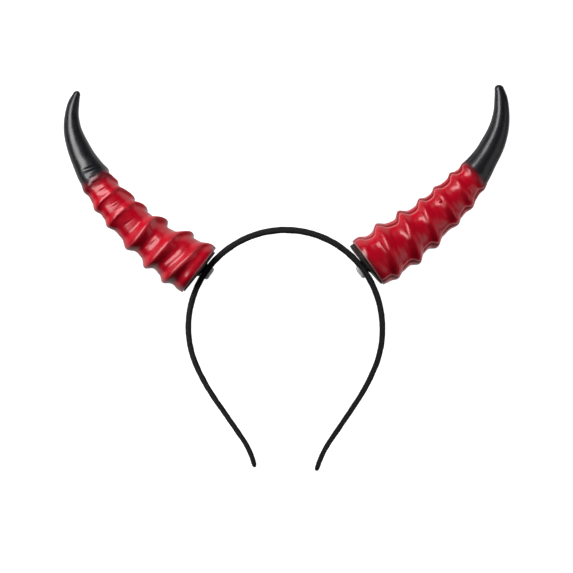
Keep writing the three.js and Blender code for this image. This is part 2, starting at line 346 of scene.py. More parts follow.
# Noise mostly stays between these values.
NOISE_RANGE = (0.3, 0.7)
# Lacquer of the horns: linear colours.
RED_DEEP = (0.48, 0.002, 0.015, 1)
RED_BRIGHT = (0.55, 0.003, 0.018, 1)
# Painted shade in grooves, the flaw's pit, the strip outside each seam and the foot of each rise.
RED_SHADE = (0.11, 0.0015, 0.004, 1)
# Painted highlight on the seams' edges and along the crests.
RED_HIGHLIGHT = (0.7, 0.14, 0.15, 1)
# Painted shade in patches near the rim.
RIM_SHADE = (0.12, 0.004, 0.007, 1)
# Paler colour at the very rim.
RIM_PALE = (0.4, 0.26, 0.26, 1)
BLACK_DEEP = (0.0095, 0.009, 0.0115, 1)
BLACK_BRIGHT = (0.016, 0.015, 0.0185, 1)
# How strong the change of colour is: painted shade in creases, painted highlight on lips and crests,
# painted shade by the rim and the paler rim.
SHADE_SHARE = 0.7
HIGHLIGHT_SHARE = 0.75
RIM_SHADE_SHARE = 0.7
RIM_PALE_SHARE = 0.55
# By distance from the rim in mm, the stretches over which the painted shade and the paler edge fade out.
# The painted shade is in patches.
RIM_SHADE_FADE = (0.8, 4)
RIM_SHADE_PATCHES = dict(low=0.35, high=0.6, to_low=0.3, to_high=1)
RIM_PALE_FADE = (0.3, 1)
# Range of the noise that speckles the black.
SPECKLE_RANGE = (0.35, 0.65)
# The paint's edge strays by these multiples of its blur, in clouds and in speckles, and is this wide in
# all.
EDGE_STRAY = 0.8
EDGE_SPECKLE = 0.5
EDGE_REACH = (-2.4, 2.2)
# Gloss of the red seen square on and grazing, of the black, and the share of it that is left in a crease.
RED_GLOSS = (0.5, 0.3)
GRAZING = (0.4, 0.9)
GRAZING_BLEND = 0.3
BLACK_GLOSS = 0.62
CREASE_GLOSS = 0.15
LACQUER_ROUGHNESS = (0.19, 0.25)
BLACK_ROUGHER = 0.07
# Noise over the horns, in waves for each metre.
LACQUER_CLOUD = dict(scale=60, detail=4)
LACQUER_SPECKLE = dict(scale=900, detail=2)
LACQUER_EDGE = dict(scale=220, detail=3)
LACQUER_DULL = dict(scale=140, detail=4)
LACQUER_SKIN = dict(scale=420, detail=3)

# Ribbon: colours of its depths, its threads and the painted sheen along its folded edges, roughness, gloss
# and fuzz.
RIBBON_DEEP = (0.001, 0.001, 0.0012, 1)
RIBBON_THREAD = (0.0035, 0.0035, 0.0038, 1)
# Painted sheen along the folded edges.
RIBBON_SHEEN = (0.016, 0.016, 0.017, 1)
RIBBON_ROUGHNESS = (0.55, 0.75)
RIBBON_GLOSS = 0.18
RIBBON_FUZZ = dict(scale=1500, detail=3)
# Shares of the shade that come from the weave and from the fuzz. How strong the painted sheen along the
# edges is, and how near to the edge, by a cosine that is -1 there.
WEAVE_SHARE = 0.6
FUZZ_SHARE = 0.4
SHEEN_SHARE = 0.6
SHEEN_RANGE = (-0.7, -1)

# Dull plastics: darker and lighter colour, roughness, fine grain in waves for each metre, and gloss.
PLATE_FINISH = dict(
    dark=(0.01, 0.006, 0.005, 1),
    light=(0.022, 0.013, 0.011, 1),
    roughness=(0.42, 0.6),
    grain=900,
    gloss=0.15,
)
STUB_FINISH = dict(
    dark=(0.002, 0.002, 0.0022, 1),
    light=(0.005, 0.005, 0.0052, 1),
    roughness=(0.5, 0.65),
    grain=1100,
    gloss=0.1,
)
GLUE_DARK = (0.4, 0.4, 0.43, 1)
GLUE_LIGHT = (0.5, 0.5, 0.53, 1)
GLUE_ROUGHNESS = (0.32, 0.42)
GLUE_CLEAR = 0.05
GLUE_IOR = 1.48

# The floor lies just under the lowest of the surface's relief, and reaches this far, in metres.
FLOOR = -0.0006
FLOOR_REACH = 4
FLOOR_DARK = (0.52, 0.52, 0.52, 1)
FLOOR_LIGHT = (0.56, 0.56, 0.56, 1)
FLOOR_GLOW = 0.95
WHITE = (1, 1, 1, 1)

# Picture: the whole frame's width at the hoop, where its middle is from the hoop's centre, how far the
# eye is, and how far round to the left it stands, in degrees.
FRAME_WIDTH = 366.7
FRAME_MIDDLE = (0.7, 25.9)
EYE_DISTANCE = 1550
EYE_TURN = -1.2
SIGHT_METRES = 50

# Soft boxes: place in the upright frame, width and height in mm, and whether they light the colour and
# the gloss.
LIGHTS = (
    dict(name="wall", place=(-280, 700, 500), size=(1000, 600), watts=6.6, colour=True, gloss=False),
    dict(name="side", place=(-790, 300, 305), size=(500, 600), watts=4.9, colour=True, gloss=False),
    dict(name="front", place=(190, -285, 880), size=(500, 500), watts=1, colour=True, gloss=False),
    dict(name="fill", place=(410, -50, 75), size=(250, 250), watts=0.5, colour=True, gloss=False),
    dict(name="box", place=(-470, 210, 570), size=(1250, 360), watts=8.2, colour=False, gloss=True),
    dict(name="reflector", place=(640, -60, 300), size=(800, 520), watts=0.5, colour=False, gloss=True),
)
# Brightness of the room above the floor and of its pale lower half, and the height of a direction over
# which the one goes over into the other.
ROOM_ABOVE = 0.01
ROOM_BELOW = 0.62
ROOM_BLEND = (-0.35, 0)


def column(table, name, at):
    """One named column of a table, on a smooth curve through its rows."""
    x = np.array([row["at"] for row in table], float)
    y = np.array([row[name] for row in table], float)
    slope = np.gradient(y, x)
    low = np.clip(np.searchsorted(x, at) - 1, 0, len(x) - 2)
    step = x[low + 1] - x[low]
    t = np.clip((at - x[low]) / step, 0, 1)
    start = (1 + 2 * t) * (1 - t) ** 2 * y[low] + t * (1 - t) ** 2 * step * slope[low]
    end = t**2 * (3 - 2 * t) * y[low + 1] + t**2 * (t - 1) * step * slope[low + 1]
    return start + end


def along_runs(runs, distance):
    """Place and heading after each distance along arcs that follow each other from the origin along +X.

    The arcs join smoothly, and the last one goes on as far as the distance asks.
    """
    x = np.zeros_like(distance)
    y = np.zeros_like(distance)
    heading = np.zeros_like(distance)
    left = np.array(distance)
    for run in runs:
        part = left if run is runs[-1] else np.minimum(left, run["length"])
        turn = part / run["radius"]
        chord = part * np.sinc(turn / (2 * np.pi))
        x = x + chord * np.cos(heading + turn / 2)
        y = y + chord * np.sin(heading + turn / 2)
        heading = heading + turn
        left = left - part
    return x, y, heading


def smoothstep(low, high, value):
    t = np.clip((value - low) / (high - low), 0, 1)
    return t * t * (3 - 2 * t)


def share(stretch, value):
    """Share from 0 to 1 of a change that fades in and out over the pairs of a stretch."""
    total = 1
    for nil, whole in stretch:
        total = total * smoothstep(nil, whole, value)
    return total


def bell(offset, width):
    return np.exp(-((offset / width) ** 2))


def quarter_turn(steps):
    return np.linspace(0, np.pi / 2, steps + 1)


def ripple(points, seed, depth, size):
    """Smooth random relief, mostly within a depth to either side, made of waves of about one size."""
    random = np.random.default_rng(seed)
    total = np.zeros(points.shape[:-1])
    for _ in range(RIPPLE_WAVES):
        direction = random.normal(size=3)
        direction /= np.linalg.norm(direction)
        length = size * random.uniform(*RIPPLE_LENGTHS)
        total += np.sin(points @ direction * (2 * np.pi / length) + random.uniform(0, 2 * np.pi))
    return depth * total / math.sqrt(RIPPLE_WAVES)


def turned(axis, degrees):
    return Matrix.Rotation(math.radians(degrees), 4, axis)


def moved(x):
    return Matrix.Translation((x, 0, 0))


LAID = Matrix.Translation(HOOP_CENTRE) @ turned("X", REST_PITCH) @ turned("Y", REST_ROLL)


def placed(points, matrix):
    """Upright points of a piece, moved by its matrix, laid down and turned into metres."""
    m = np.array(LAID @ matrix)
    return (points @ m[:3, :3].T + m[:3, 3]) * MM


def ring_piece(name, rings, matrix, around=None, along=None, values=None):
    """Closed skin through rings of equal length with a fan over the first and the last.

    around and along are the surface's own measures in mm for the texture.
    values holds numbers for each point.
    """
    count, sides = rings.shape[:2]
    ring = np.arange(count - 1)[:, None] * sides
    side = np.arange(sides)[None, :]
    beside = (side + 1) % sides
    corners = [ring + side, ring + beside, ring + sides + beside, ring + sides + side]
    quads = np.stack(corners, axis=-1).reshape(-1, 4)
    hubs = count * sides
    last = (count - 1) * sides
    side = side[0]
    beside = beside[0]
    first_fan = np.stack([beside, side, np.full(sides, hubs)], axis=-1)
    last_fan = np.stack([last + side, last + beside, np.full(sides, hubs + 1)], axis=-1)
    points = np.concatenate([rings.reshape(-1, 3), [rings[0].mean(axis=0)], [rings[-1].mean(axis=0)]])
    faces = quads.tolist() + first_fan.tolist() + last_fan.tolist()
    mesh = bpy.data.meshes.new(name)
    mesh.from_pydata(placed(points, matrix).tolist(), [], faces)
    mesh.polygons.foreach_set("use_smooth", np.ones(len(mesh.polygons), bool))
    if around is not None:
        u = np.concatenate([around, [around[-1] + around[1] - around[0]]])
        grid = np.stack(np.broadcast_arrays(u[None, :], along[:, None]), axis=-1)
        corners = [grid[:-1, :-1], grid[:-1, 1:], grid[1:, 1:], grid[1:, :-1]]
        quad_uv = np.stack(corners, axis=2).reshape(-1, 2)
        fan_uv = np.concatenate([np.tile(end, (3 * sides, 1)) for end in (grid[0, 0], grid[-1, 0])])
        layer = mesh.uv_layers.new(name="surface")
        layer.data.foreach_set("uv", np.concatenate([quad_uv, fan_uv]).ravel())
    for key, value in (values or {}).items():
        full = np.concatenate([value.ravel(), [value[0].mean()], [value[-1].mean()]])
        mesh.attributes.new(key, "FLOAT", "POINT").data.foreach_set("value", full.astype(np.float32))
    mesh.validate()
    piece = bpy.data.objects.new(name, mesh)
    bpy.context.scene.collection.objects.link(piece)
    return piece


def finish_piece(piece, node, material):
    piece.data.materials.append(material)
    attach(piece, "root")
    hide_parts(node)


def horn_form(side, distance, angle, depth):
    """How far the horn's skin is from its axis, drawn in by a depth, before the ridge."""
    radius = column(HORN_SECTIONS, "radius", distance)
    inward = np.cos(angle)
    hollow = share(HOLLOW_STRETCH, distance) * share(HOLLOW_SECTOR, inward)
    flat = share(FLAT_STRETCH, distance) * share(FLAT_SECTOR, inward)
    bulk = share(BULK_STRETCH, distance) * inward**2
    tip = share(TIP_STRETCH, distance) * (1 - inward) / 2 * (1 - depth / radius)
    from_axis = radius - depth - side["hollow"] * hollow - side["flat"] * flat
    return from_axis + side["bulk"] * bulk + side["tip"] * tip


def ridge_turns(side, distance, angle):
    """Turns of the spiral ridge below each point of a grid, a whole number on each crest."""
    path = []
    for row in RIDGE_TURNS:
        path += [dict(at=row["turn"] + RIDGE_LINES[line], crest=row[line]) for line in side["ridge_lines"]]
    turn = np.array([row["turn"] for row in RIDGE_TURNS])
    crests = column(path, "crest", turn[:, None] + 1 - angle[0][None, :] / (2 * np.pi))
    return np.stack([np.interp(d, c, turn) for d, c in zip(distance.T, crests.T)], axis=1)


def ridge_height(side, distance, angle, phase, shallow):
    """Height of the ridge from -1 to 1, with its rise steeper or gentler in places."""
    steeper = np.maximum(shallow, share(STEEP_SECTOR, np.cos(angle))) * share(STEEP_PHASE, phase)
    gentler = share(GENTLE_STRETCH, distance) * share(LEFT_FRONT_SECTOR, np.sin(angle))
    gentler = gentler * share(GENTLE_PHASE, phase)
    return column(RIDGE_PROFILE, "height", phase - side["steeper"] * steeper + side["gentler"] * gentler)


def groove_marks(distance, angle):
    """Relief of the fine grooves, and the painted shade that darkens each point in one."""
    relief = np.zeros_like(distance)
    crease_shade = np.zeros_like(distance)
    for mark in GROOVES:
        beside = np.degrees(angle) - mark["angle"]
        offset = distance - mark["at"] - GROOVE_SLANT * beside
        within = bell(offset, mark["width"]) * bell(beside, GROOVE_FADE * mark["reach"])
        relief = relief - mark["depth"] * within
        crease_shade = np.maximum(crease_shade, within)
    return relief, crease_shade


def flaw_mark(distance, angle, radius):
    """Relief of the flaw, a pit with a lip round it, and the painted shade in its pit."""
    across = radius * (angle - math.radians(FLAW["angle"]))
    from_middle = np.hypot(distance - FLAW["at"], across) / FLAW["radius"]
    lip = FLAW["lip"] * bell(from_middle - FLAW["lip_at"], FLAW["lip_width"])
    return lip - FLAW["depth"] * bell(from_middle, 1), bell(from_middle, FLAW["dark"])


def seam_marks(distance, angle, radius, height):
    """Relief of the proud half, and the painted shade by a seam and the painted highlight on its edge."""
    swing = SEAM_SWING * height
    for waver in SEAM_WAVERS:
        swing = swing + waver["degrees"] * np.sin(distance / waver["length"])
    low, high = SEAM_ANGLES
    inside = np.radians(np.minimum(np.degrees(angle) - low, high - np.degrees(angle)) + swing) * radius
    step = SEAM_STEP * smoothstep(-SEAM_BLEND, SEAM_BLEND, inside)
    lip = SEAM_LIP * bell(inside - SEAM_LIP_INSIDE, SEAM_LIP_WIDTH)
    relief = np.minimum(1, radius / SEAM_FULL_RADIUS) * (step + lip)
    # Painted shade outside the seam and a painted highlight on its edge.
    return relief, share(SEAM_SHADE, inside), bell(inside - SEAM_HIGHLIGHT, SEAM_HIGHLIGHT)


def skin_relief(distance, place, turns):
    """Faint waves all over the horn, and streaks along its ridge."""
    smooth = share(SMOOTH_STRETCH, distance)
    waves = ripple(place * (SKIN_SHORTER, 1, 1), **SKIN_WAVES) * (1 - (1 - SKIN_ON_TIP) * smooth)
    round_horn = STREAK_SLIMNESS * place[..., 1:]
    along_ridge = np.concatenate([RIDGE_PITCH * turns[..., None], round_horn], axis=-1)
    return waves + ripple(along_ridge, **STREAKS) * (1 - smooth)


def on_curl(side, distance, angle, from_axis):
    """Points at a distance from the horn's axis, which curls away from the slanted mouth."""
    hook = dict(radius=side["hook"])
    reach = distance - side["short"] * share(SHORT_STRETCH, distance)
    x, y, heading = along_runs((*HORN_RUNS, hook), reach)
    inward = from_axis * np.cos(angle)
    slant = np.maximum(0, 1 - distance / MOUTH_BLEND) * math.tan(math.radians(side["slant"])) * inward
    return np.stack(
        [
            x - np.sin(heading) * inward - np.cos(heading) * slant,
            y + np.cos(heading) * inward - np.sin(heading) * slant,
            from_axis * np.sin(angle),
        ],
        axis=-1,
    )


def horn_grid(side, distance, angle, depth, detail):
    """Points of the horn's skin on a grid, drawn in by a depth.

    With them comes how much painted shade each takes in a crease, by a seam or at a rise's foot, and how
    much painted highlight on a seam's edge or a crest.
    """
    distance = distance[:, None] * np.ones_like(angle)[None, :]
    angle = angle[None, :] * np.ones_like(distance)
    radius = column(HORN_SECTIONS, "radius", distance)
    place = np.stack([distance, radius * np.cos(angle), radius * np.sin(angle)], axis=-1)
    shallow = share(SHALLOW_STRETCH, distance) * share(LEFT_FRONT_SECTOR, np.sin(angle))
    ridge = np.maximum(column(HORN_SECTIONS, "ridge", distance), 0) * (1 - RIDGE_SHALLOW * shallow)
    turns = ridge_turns(side, distance, angle)
    if detail:
        turns = turns + ripple(place, **RIDGE_STRAYS)
        ridge = ridge * (1 + ripple(place, **RIDGE_VARIES))
    height = ridge_height(side, distance, angle, turns % 1, shallow)
    outward = share(OUTER_SECTOR, np.cos(angle)) * np.minimum(1, ridge) * (1 + height) / 2
    from_axis = horn_form(side, distance, angle, np.reshape(depth, (-1, 1)))
    from_axis = from_axis + ridge * height + side["crest"] * outward
    crease_shade = np.zeros_like(distance)
    lip = np.zeros_like(distance)
    if detail:
        groove_relief, groove_shade = groove_marks(distance, angle)
        flaw_relief, flaw_shade = flaw_mark(distance, angle, radius)
        seam_relief, seam_shade, seam_highlight = seam_marks(distance, angle, radius, height)
        from_axis = from_axis + groove_relief + flaw_relief + seam_relief
        from_axis = from_axis + skin_relief(distance, place, turns)
        # Painted shade: darker in grooves, in the flaw's pit, outside the seams and at the foot of each
        # rise, with less gloss there.
        foot = share(FOOT_PHASE, turns % 1) * share(FOOT_SECTOR, np.cos(angle)) * np.minimum(1, ridge)
        crease_shade = np.maximum.reduce([groove_shade, flaw_shade, seam_shade, FOOT_SHADE * foot])
        # Painted highlight along the crests and on the seams' edges.
        crest = bell(np.abs((turns + 0.5) % 1 - 0.5), CREST_WIDTH) * np.minimum(1, ridge)
        lip = np.maximum(seam_highlight, side["crest_highlight"] * crest)
    return on_curl(side, distance, angle, from_axis), crease_shade, lip


def horn_angles():
    """Angles round the horn, closer together at the seams."""
    even = np.linspace(0, 360, HORN_SIDES, endpoint=False)
    near = SEAM_FINE_STEP * np.arange(-SEAM_FINE_COUNT, SEAM_FINE_COUNT + 1)
    fine = np.concatenate([seam + near for seam in SEAM_ANGLES])
    apart = np.abs(even[:, None] - fine[None, :]).min(axis=1) > SEAM_CLEARANCE
    return np.radians(np.sort(np.concatenate([even[apart], fine])))


def horn_mesh(side, matrix):
    """Hollow horn: the inner skin down to the mouth, round the rim, and the outer skin up to the tip."""
    angle = horn_angles()
    last = HORN_SECTIONS[-1]
    inner_distance = np.arange(HOLLOW_LENGTH, 0, -INNER_SPACING)
    inner_depth = np.full(len(inner_distance) + 1, HORN_WALL)
    inner, _, _ = horn_grid(side, np.append(inner_distance, 0), angle, inner_depth, False)
    turn = quarter_turn(EDGE_STEPS)
    rim_distance = RIM_ROUNDING * (1 - np.cos(turn))
    rim_depth = RIM_ROUNDING * (1 - np.sin(turn))
    skin_distance = np.arange(RIM_ROUNDING + HORN_SPACING, last["at"], HORN_SPACING)
    tip_turn = quarter_turn(HORN_TIP_STEPS)[:-1]
    tip_distance = last["at"] + (HORN_LENGTH - last["at"]) * np.sin(tip_turn)
    tip_depth = last["radius"] * (1 - np.cos(tip_turn))
    distance = np.concatenate([rim_distance, skin_distance, tip_distance])
    depth = np.concatenate([rim_depth, np.zeros(len(skin_distance)), tip_depth])
    outer, crease_shade, lip = horn_grid(side, distance, angle, depth, True)
    rings = np.concatenate([inner, outer])
    bare = np.zeros(inner.shape[:2])
    past_paint = distance[:, None] - side["paint"] - side["paint_slant"] * np.cos(angle)[None, :]
    from_rim = np.broadcast_to(distance[:, None], crease_shade.shape)
    # The painted shade and the painted highlight go to the lacquer as values on the points.
    values = dict(
        crease_shade=np.concatenate([bare, crease_shade]),
        lip=np.concatenate([bare, lip]),
        from_paint=np.concatenate([bare - side["paint"], past_paint / side["paint_blur"]]),
        from_rim=np.concatenate([bare, from_rim]),
    )
    return ring_piece(f"horn_{side['name']}", rings, matrix, values=values)


def rounded_outline(power, sides):
    """Outline of a rounded square from -1 to 1, from the middle of one edge round."""
    turn = np.linspace(0, 2 * np.pi, sides, endpoint=False)
    c = np.cos(turn)
    s = np.sin(turn)
    return np.sign(c) * np.abs(c) ** (2 / power), np.sign(s) * np.abs(s) ** (2 / power)


def band_mesh():
    """Hoop covered by one ribbon that laps along its inner face."""
    total = sum(run["length"] for run in BAND_RUNS)
    straight = total - BAND_TIP_ROUNDING
    half = np.arange(0, straight, BAND_SPACING)
    rounding = straight + BAND_TIP_ROUNDING * np.sin(quarter_turn(BAND_TIP_STEPS)[:-1])
    half = np.concatenate([half, rounding])
    signed = np.concatenate([-half[:0:-1], half])
    distance = np.abs(signed)
    side = np.where(signed < 0, -1.0, 1.0)
    x, y, heading = along_runs(BAND_RUNS, distance)
    from_end = np.minimum(1, (total - distance) / BAND_TIP_ROUNDING)
    shrink = np.sqrt(1 - (1 - from_end) ** 2)
    half_thick = column(BAND_SECTIONS, "thick", distance) / 2 * shrink
    half_wide = column(BAND_SECTIONS, "wide", distance) / 2 * shrink
    out, front = rounded_outline(BAND_SQUARENESS, BAND_SIDES)
    out = out[None, :] * half_thick[:, None]
    front = front[None, :] * half_wide[:, None]
    place = np.stack(np.broadcast_arrays(signed[:, None], out, front), axis=-1)
    inner_face = out < INNER_FACE * half_thick[:, None]
    waver = LAP_WAVER * np.sin(signed / LAP_WAVER_LENGTH)
    past_lap = front - LAP_OFFSET + waver[:, None]
    lap = RIBBON_THICKNESS * shrink[:, None] * smoothstep(-LAP_SOFTNESS, LAP_SOFTNESS, past_lap)
    out = out - np.where(inner_face, lap, 0)
    soft = sum(ripple(place, **wave) for wave in RIBBON_WAVES)
    out = out * (1 + soft * shrink[:, None] / np.maximum(half_thick, RIBBON_FADE)[:, None])
    across = x[:, None] + np.sin(heading)[:, None] * out
    up = CROWN_RADIUS - y[:, None] + np.cos(heading)[:, None] * out
    across = side[:, None] * across + column(RIGHT_ARM, "out", signed)[:, None]
    up = up - column(RIGHT_ARM, "down", signed)[:, None]
    rings = np.stack([across, up, np.broadcast_to(front, up.shape)], axis=-1)
    around = np.linspace(0, RIBBON_ROUND, BAND_SIDES, endpoint=False)
    return ring_piece("band", rings[:, ::-1], Matrix.Identity(4), around=around, along=signed)


def plate_mesh(side, matrix):
    """Disc over the horn's mouth with eased edges, behind x = 0 and thicker towards +Y."""
    flat = PLATE_RING_SPACING * np.arange(1, PLATE_RINGS + 1)
    turn = quarter_turn(EDGE_STEPS)
    edge = PLATE_RADIUS - PLATE_BEVEL
    back_radius = np.concatenate([flat, edge + PLATE_BEVEL * np.sin(turn)])
    front_radius = np.concatenate([edge + PLATE_BEVEL * np.cos(turn), flat[::-1]])
    radius = np.concatenate([back_radius, front_radius])
    back = np.concatenate([np.zeros(len(flat)), PLATE_BEVEL * (1 - np.cos(turn))])
    front = np.concatenate([PLATE_BEVEL * (1 - np.sin(turn)), np.zeros(len(flat))])
    x = np.concatenate([back - PLATE_THICKNESS, -front])
    behind = np.concatenate([np.ones(len(back)), np.zeros(len(front))])
    angle = np.linspace(0, 2 * np.pi, PLATE_SIDES, endpoint=False)
    uneven = 1 + sum(wave["share"] * np.sin(wave["count"] * angle + wave["start"]) for wave in PLATE_WAVES)
    uneven = uneven - side["plate_cut"] / PLATE_RADIUS * share(FLAT_SECTOR, np.cos(angle))
    y = radius[:, None] * np.cos(angle) * uneven
    z = radius[:, None] * np.sin(angle) * uneven
    x = x[:, None] - side["wedge"] * behind[:, None] * (0.5 + y / (2 * PLATE_RADIUS))
    return ring_piece(f"plate_{side['name']}", np.stack([x, y, z], axis=-1), matrix)


def stub_mesh(side, matrix, band_face, plate_face, plate_normal):
    """Block between the band and the plate, waisted in the middle and eased at its edges."""
    along = np.array([row["at"] for row in STUB_PROFILE])
    size = np.array([row["size"] for row in STUB_PROFILE])
    long, wide = rounded_outline(STUB_SQUARENESS, BLOCK_SIDES)
    half_long = (STUB_LENGTH / 2 + STUB_FLARE * along) * size
    y = half_long[:, None] * long
    z = STUB_WIDTH / 2 * size[:, None] * wide
    on_band = np.sqrt(band_face**2 - y**2)
    on_plate = plate_face - (plate_normal.y * y + plate_normal.z * z) / plate_normal.x
    x = on_band + (on_plate - on_band) * along[:, None]
    return ring_piece(f"stub_{side['name']}", np.stack([x, y, z], axis=-1), matrix)


def pad_mesh(side, matrix, band_face):
    """Cushion of set glue on the inner face of the band, standing towards -X."""
    turn = quarter_turn(PAD_STEPS)[:-1]
    size = np.concatenate([PAD_BACK, np.cos(turn) ** PAD_SIZE_POWER])
    rise = np.concatenate([np.zeros(len(PAD_BACK)), np.sin(turn) ** PAD_RISE_POWER])
    long, wide = rounded_outline(PAD_SQUARENESS, BLOCK_SIDES)
    y = PAD_LENGTH / 2 * size[:, None] * long
    z = PAD_WIDTH / 2 * size[:, None] * wide
    smooth = rise[:, None] * PAD_HEIGHT * np.ones_like(y)
    place = np.stack([smooth, y, z], axis=-1)
    height = smooth * (1 + ripple(place, PAD_SEED + side["turn"], **PAD_WAVES))
    x = np.sqrt(band_face**2 - y**2) - height
    return ring_piece(f"pad_{side['name']}", np.stack([x, y, z], axis=-1), matrix)


def new_material(name):
    material = bpy.data.materials.new(name)
    material.use_nodes = True
    tree = material.node_tree
    return material, tree, tree.nodes["Principled BSDF"]


def add_node(tree, kind, inputs=None, **settings):
    """New shader node. An input may be a number, a colour or another node's output."""
    node = tree.nodes.new(kind)
    for key, value in settings.items():
        setattr(node, key, value)
    for key, value in (inputs or {}).items():
        if isinstance(value, bpy.types.NodeSocket):
            tree.links.new(value, node.inputs[key])
        else:
            node.inputs[key].default_value = value
    return node


def noise(tree, vector, scale, detail):
    made = add_node(tree, "ShaderNodeTexNoise", {"Vector": vector, "Scale": scale, "Detail": detail})
    return made.outputs["Fac"]


def remap(tree, value, low, high, to_low, to_high, smooth=True):
    made = add_node(
        tree,
        "ShaderNodeMapRange",
        {"Value": value, "From Min": low, "From Max": high, "To Min": to_low, "To Max": to_high},
        interpolation_type="SMOOTHSTEP" if smooth else "LINEAR",
    )
    return made.outputs["Result"]


def spread(tree, grain, low, high):
    """Noise spread over a range."""
    return remap(tree, grain, *NOISE_RANGE, low, high)


def math_node(tree, operation, first, second):
    return add_node(tree, "ShaderNodeMath", {0: first, 1: second}, operation=operation).outputs[0]


def wave_node(tree, operation, value, length):
    """Sine or cosine of a measure, with a wave's length."""
    return math_node(tree, operation, math_node(tree, "MULTIPLY", value, 2 * math.pi / length), 0)


def mix_colours(tree, factor, first, second):
    made = add_node(tree, "ShaderNodeMix", {0: factor, 6: first, 7: second}, data_type="RGBA")
    return made.outputs[2]


def bump(tree, height, strength, distance):
    made = add_node(tree, "ShaderNodeBump", {"Height": height, "Strength": strength, "Distance": distance})
    return made.outputs["Normal"]


def attribute(tree, name):
    return add_node(tree, "ShaderNodeAttribute", attribute_name=name).outputs["Fac"]


def object_place(tree):
    return add_node(tree, "ShaderNodeTexCoord").outputs["Object"]


def lacquer_red(tree, place, crease_shade):
    """Red with painted shade in creases and in patches by the rim, painted highlight on lips and crests,
    and paler at the very rim.
    """
    cloud = noise(tree, place, **LACQUER_CLOUD)
    red = mix_colours(tree, spread(tree, cloud, 0, 1), RED_DEEP, RED_BRIGHT)
    red = mix_colours(tree, remap(tree, crease_shade, 0, 1, 0, SHADE_SHARE), red, RED_SHADE)
    painted_highlight = remap(tree, attribute(tree, "lip"), 0, 1, 0, HIGHLIGHT_SHARE)
    red = mix_colours(tree, painted_highlight, red, RED_HIGHLIGHT)
    from_rim = attribute(tree, "from_rim")
    patchy = remap(tree, cloud, **RIM_SHADE_PATCHES)
    # Painted shade in patches near the rim.
    rim_shade = math_node(tree, "MULTIPLY", remap(tree, from_rim, *RIM_SHADE_FADE, RIM_SHADE_SHARE, 0), patchy)
    red = mix_colours(tree, rim_shade, red, RIM_SHADE)
    # Paler colour at the very rim.
    return mix_colours(tree, remap(tree, from_rim, *RIM_PALE_FADE, RIM_PALE_SHARE, 0), red, RIM_PALE)


def horn_material():
    """Glossy red lacquer, sprayed black towards the tip."""
    material, tree, shader = new_material("horn_lacquer")
    place = object_place(tree)
    # Painted shade comes in with this attribute, and it takes gloss away too.
    crease_shade = attribute(tree, "crease_shade")
    red = lacquer_red(tree, place, crease_shade)
    speckle = noise(tree, place, **LACQUER_SPECKLE)
    black = mix_colours(tree, remap(tree, speckle, *SPECKLE_RANGE, 0, 1), BLACK_DEEP, BLACK_BRIGHT)
    stray = remap(tree, noise(tree, place, **LACQUER_EDGE), 0, 1, -EDGE_STRAY, EDGE_STRAY, False)
    spots = remap(tree, speckle, 0, 1, -EDGE_SPECKLE, EDGE_SPECKLE, False)
    edge = math_node(tree, "ADD", attribute(tree, "from_paint"), stray)
    blackness = remap(tree, math_node(tree, "ADD", edge, spots), *EDGE_REACH, 0, 1)
    tree.links.new(mix_colours(tree, blackness, red, black), shader.inputs["Base Color"])
    gloss_outside_shade = remap(tree, crease_shade, 0, 1, 1, CREASE_GLOSS)
    grazing = add_node(tree, "ShaderNodeLayerWeight", {"Blend": GRAZING_BLEND}).outputs["Facing"]
    red_gloss = math_node(tree, "MULTIPLY", gloss_outside_shade, remap(tree, grazing, *GRAZING, *RED_GLOSS))
    black_gloss = math_node(tree, "MULTIPLY", blackness, remap(tree, gloss_outside_shade, 0, 1, 0, BLACK_GLOSS))
    gloss = math_node(tree, "MAXIMUM", red_gloss, black_gloss)
    tree.links.new(gloss, shader.inputs["Specular IOR Level"])
    dull = spread(tree, noise(tree, place, **LACQUER_DULL), *LACQUER_ROUGHNESS)
    rougher = math_node(tree, "MULTIPLY", blackness, BLACK_ROUGHER)
    tree.links.new(math_node(tree, "ADD", dull, rougher), shader.inputs["Roughness"])
    skin = noise(tree, place, **LACQUER_SKIN)
    tree.links.new(bump(tree, skin, strength=0.05, distance=0.0004), shader.inputs["Normal"])
    return material


def ribbon_material():
    """Fine black ribbon: ribs across its length under a faint sheen, and a painted sheen along its folded
    edges.
    """
    material, tree, shader = new_material("black_ribbon")
    surface = add_node(tree, "ShaderNodeUVMap", uv_map="surface").outputs["UV"]
    axes = add_node(tree, "ShaderNodeSeparateXYZ", {0: surface})
    rib = wave_node(tree, "SINE", axes.outputs["Y"], RIB_SPACING)
    thread = wave_node(tree, "SINE", axes.outputs["X"], THREAD_SPACING)
    weave = math_node(tree, "ADD", rib, math_node(tree, "MULTIPLY", thread, rib))
    fuzz = noise(tree, object_place(tree), **RIBBON_FUZZ)
    woven = remap(tree, weave, -2, 2, 0, WEAVE_SHARE, False)
    shade = math_node(tree, "ADD", woven, spread(tree, fuzz, 0, FUZZ_SHARE))
    colour = mix_colours(tree, shade, RIBBON_DEEP, RIBBON_THREAD)
    # Painted sheen along the band's edges.
    across = wave_node(tree, "COSINE", axes.outputs["X"], RIBBON_ROUND / 2)
    colour = mix_colours(tree, remap(tree, across, *SHEEN_RANGE, 0, SHEEN_SHARE), colour, RIBBON_SHEEN)
    tree.links.new(colour, shader.inputs["Base Color"])
    tree.links.new(spread(tree, fuzz, *RIBBON_ROUGHNESS), shader.inputs["Roughness"])
    tree.links.new(bump(tree, weave, strength=0.35, distance=0.0001), shader.inputs["Normal"])
    shader.inputs["Specular IOR Level"].default_value = RIBBON_GLOSS
    return material


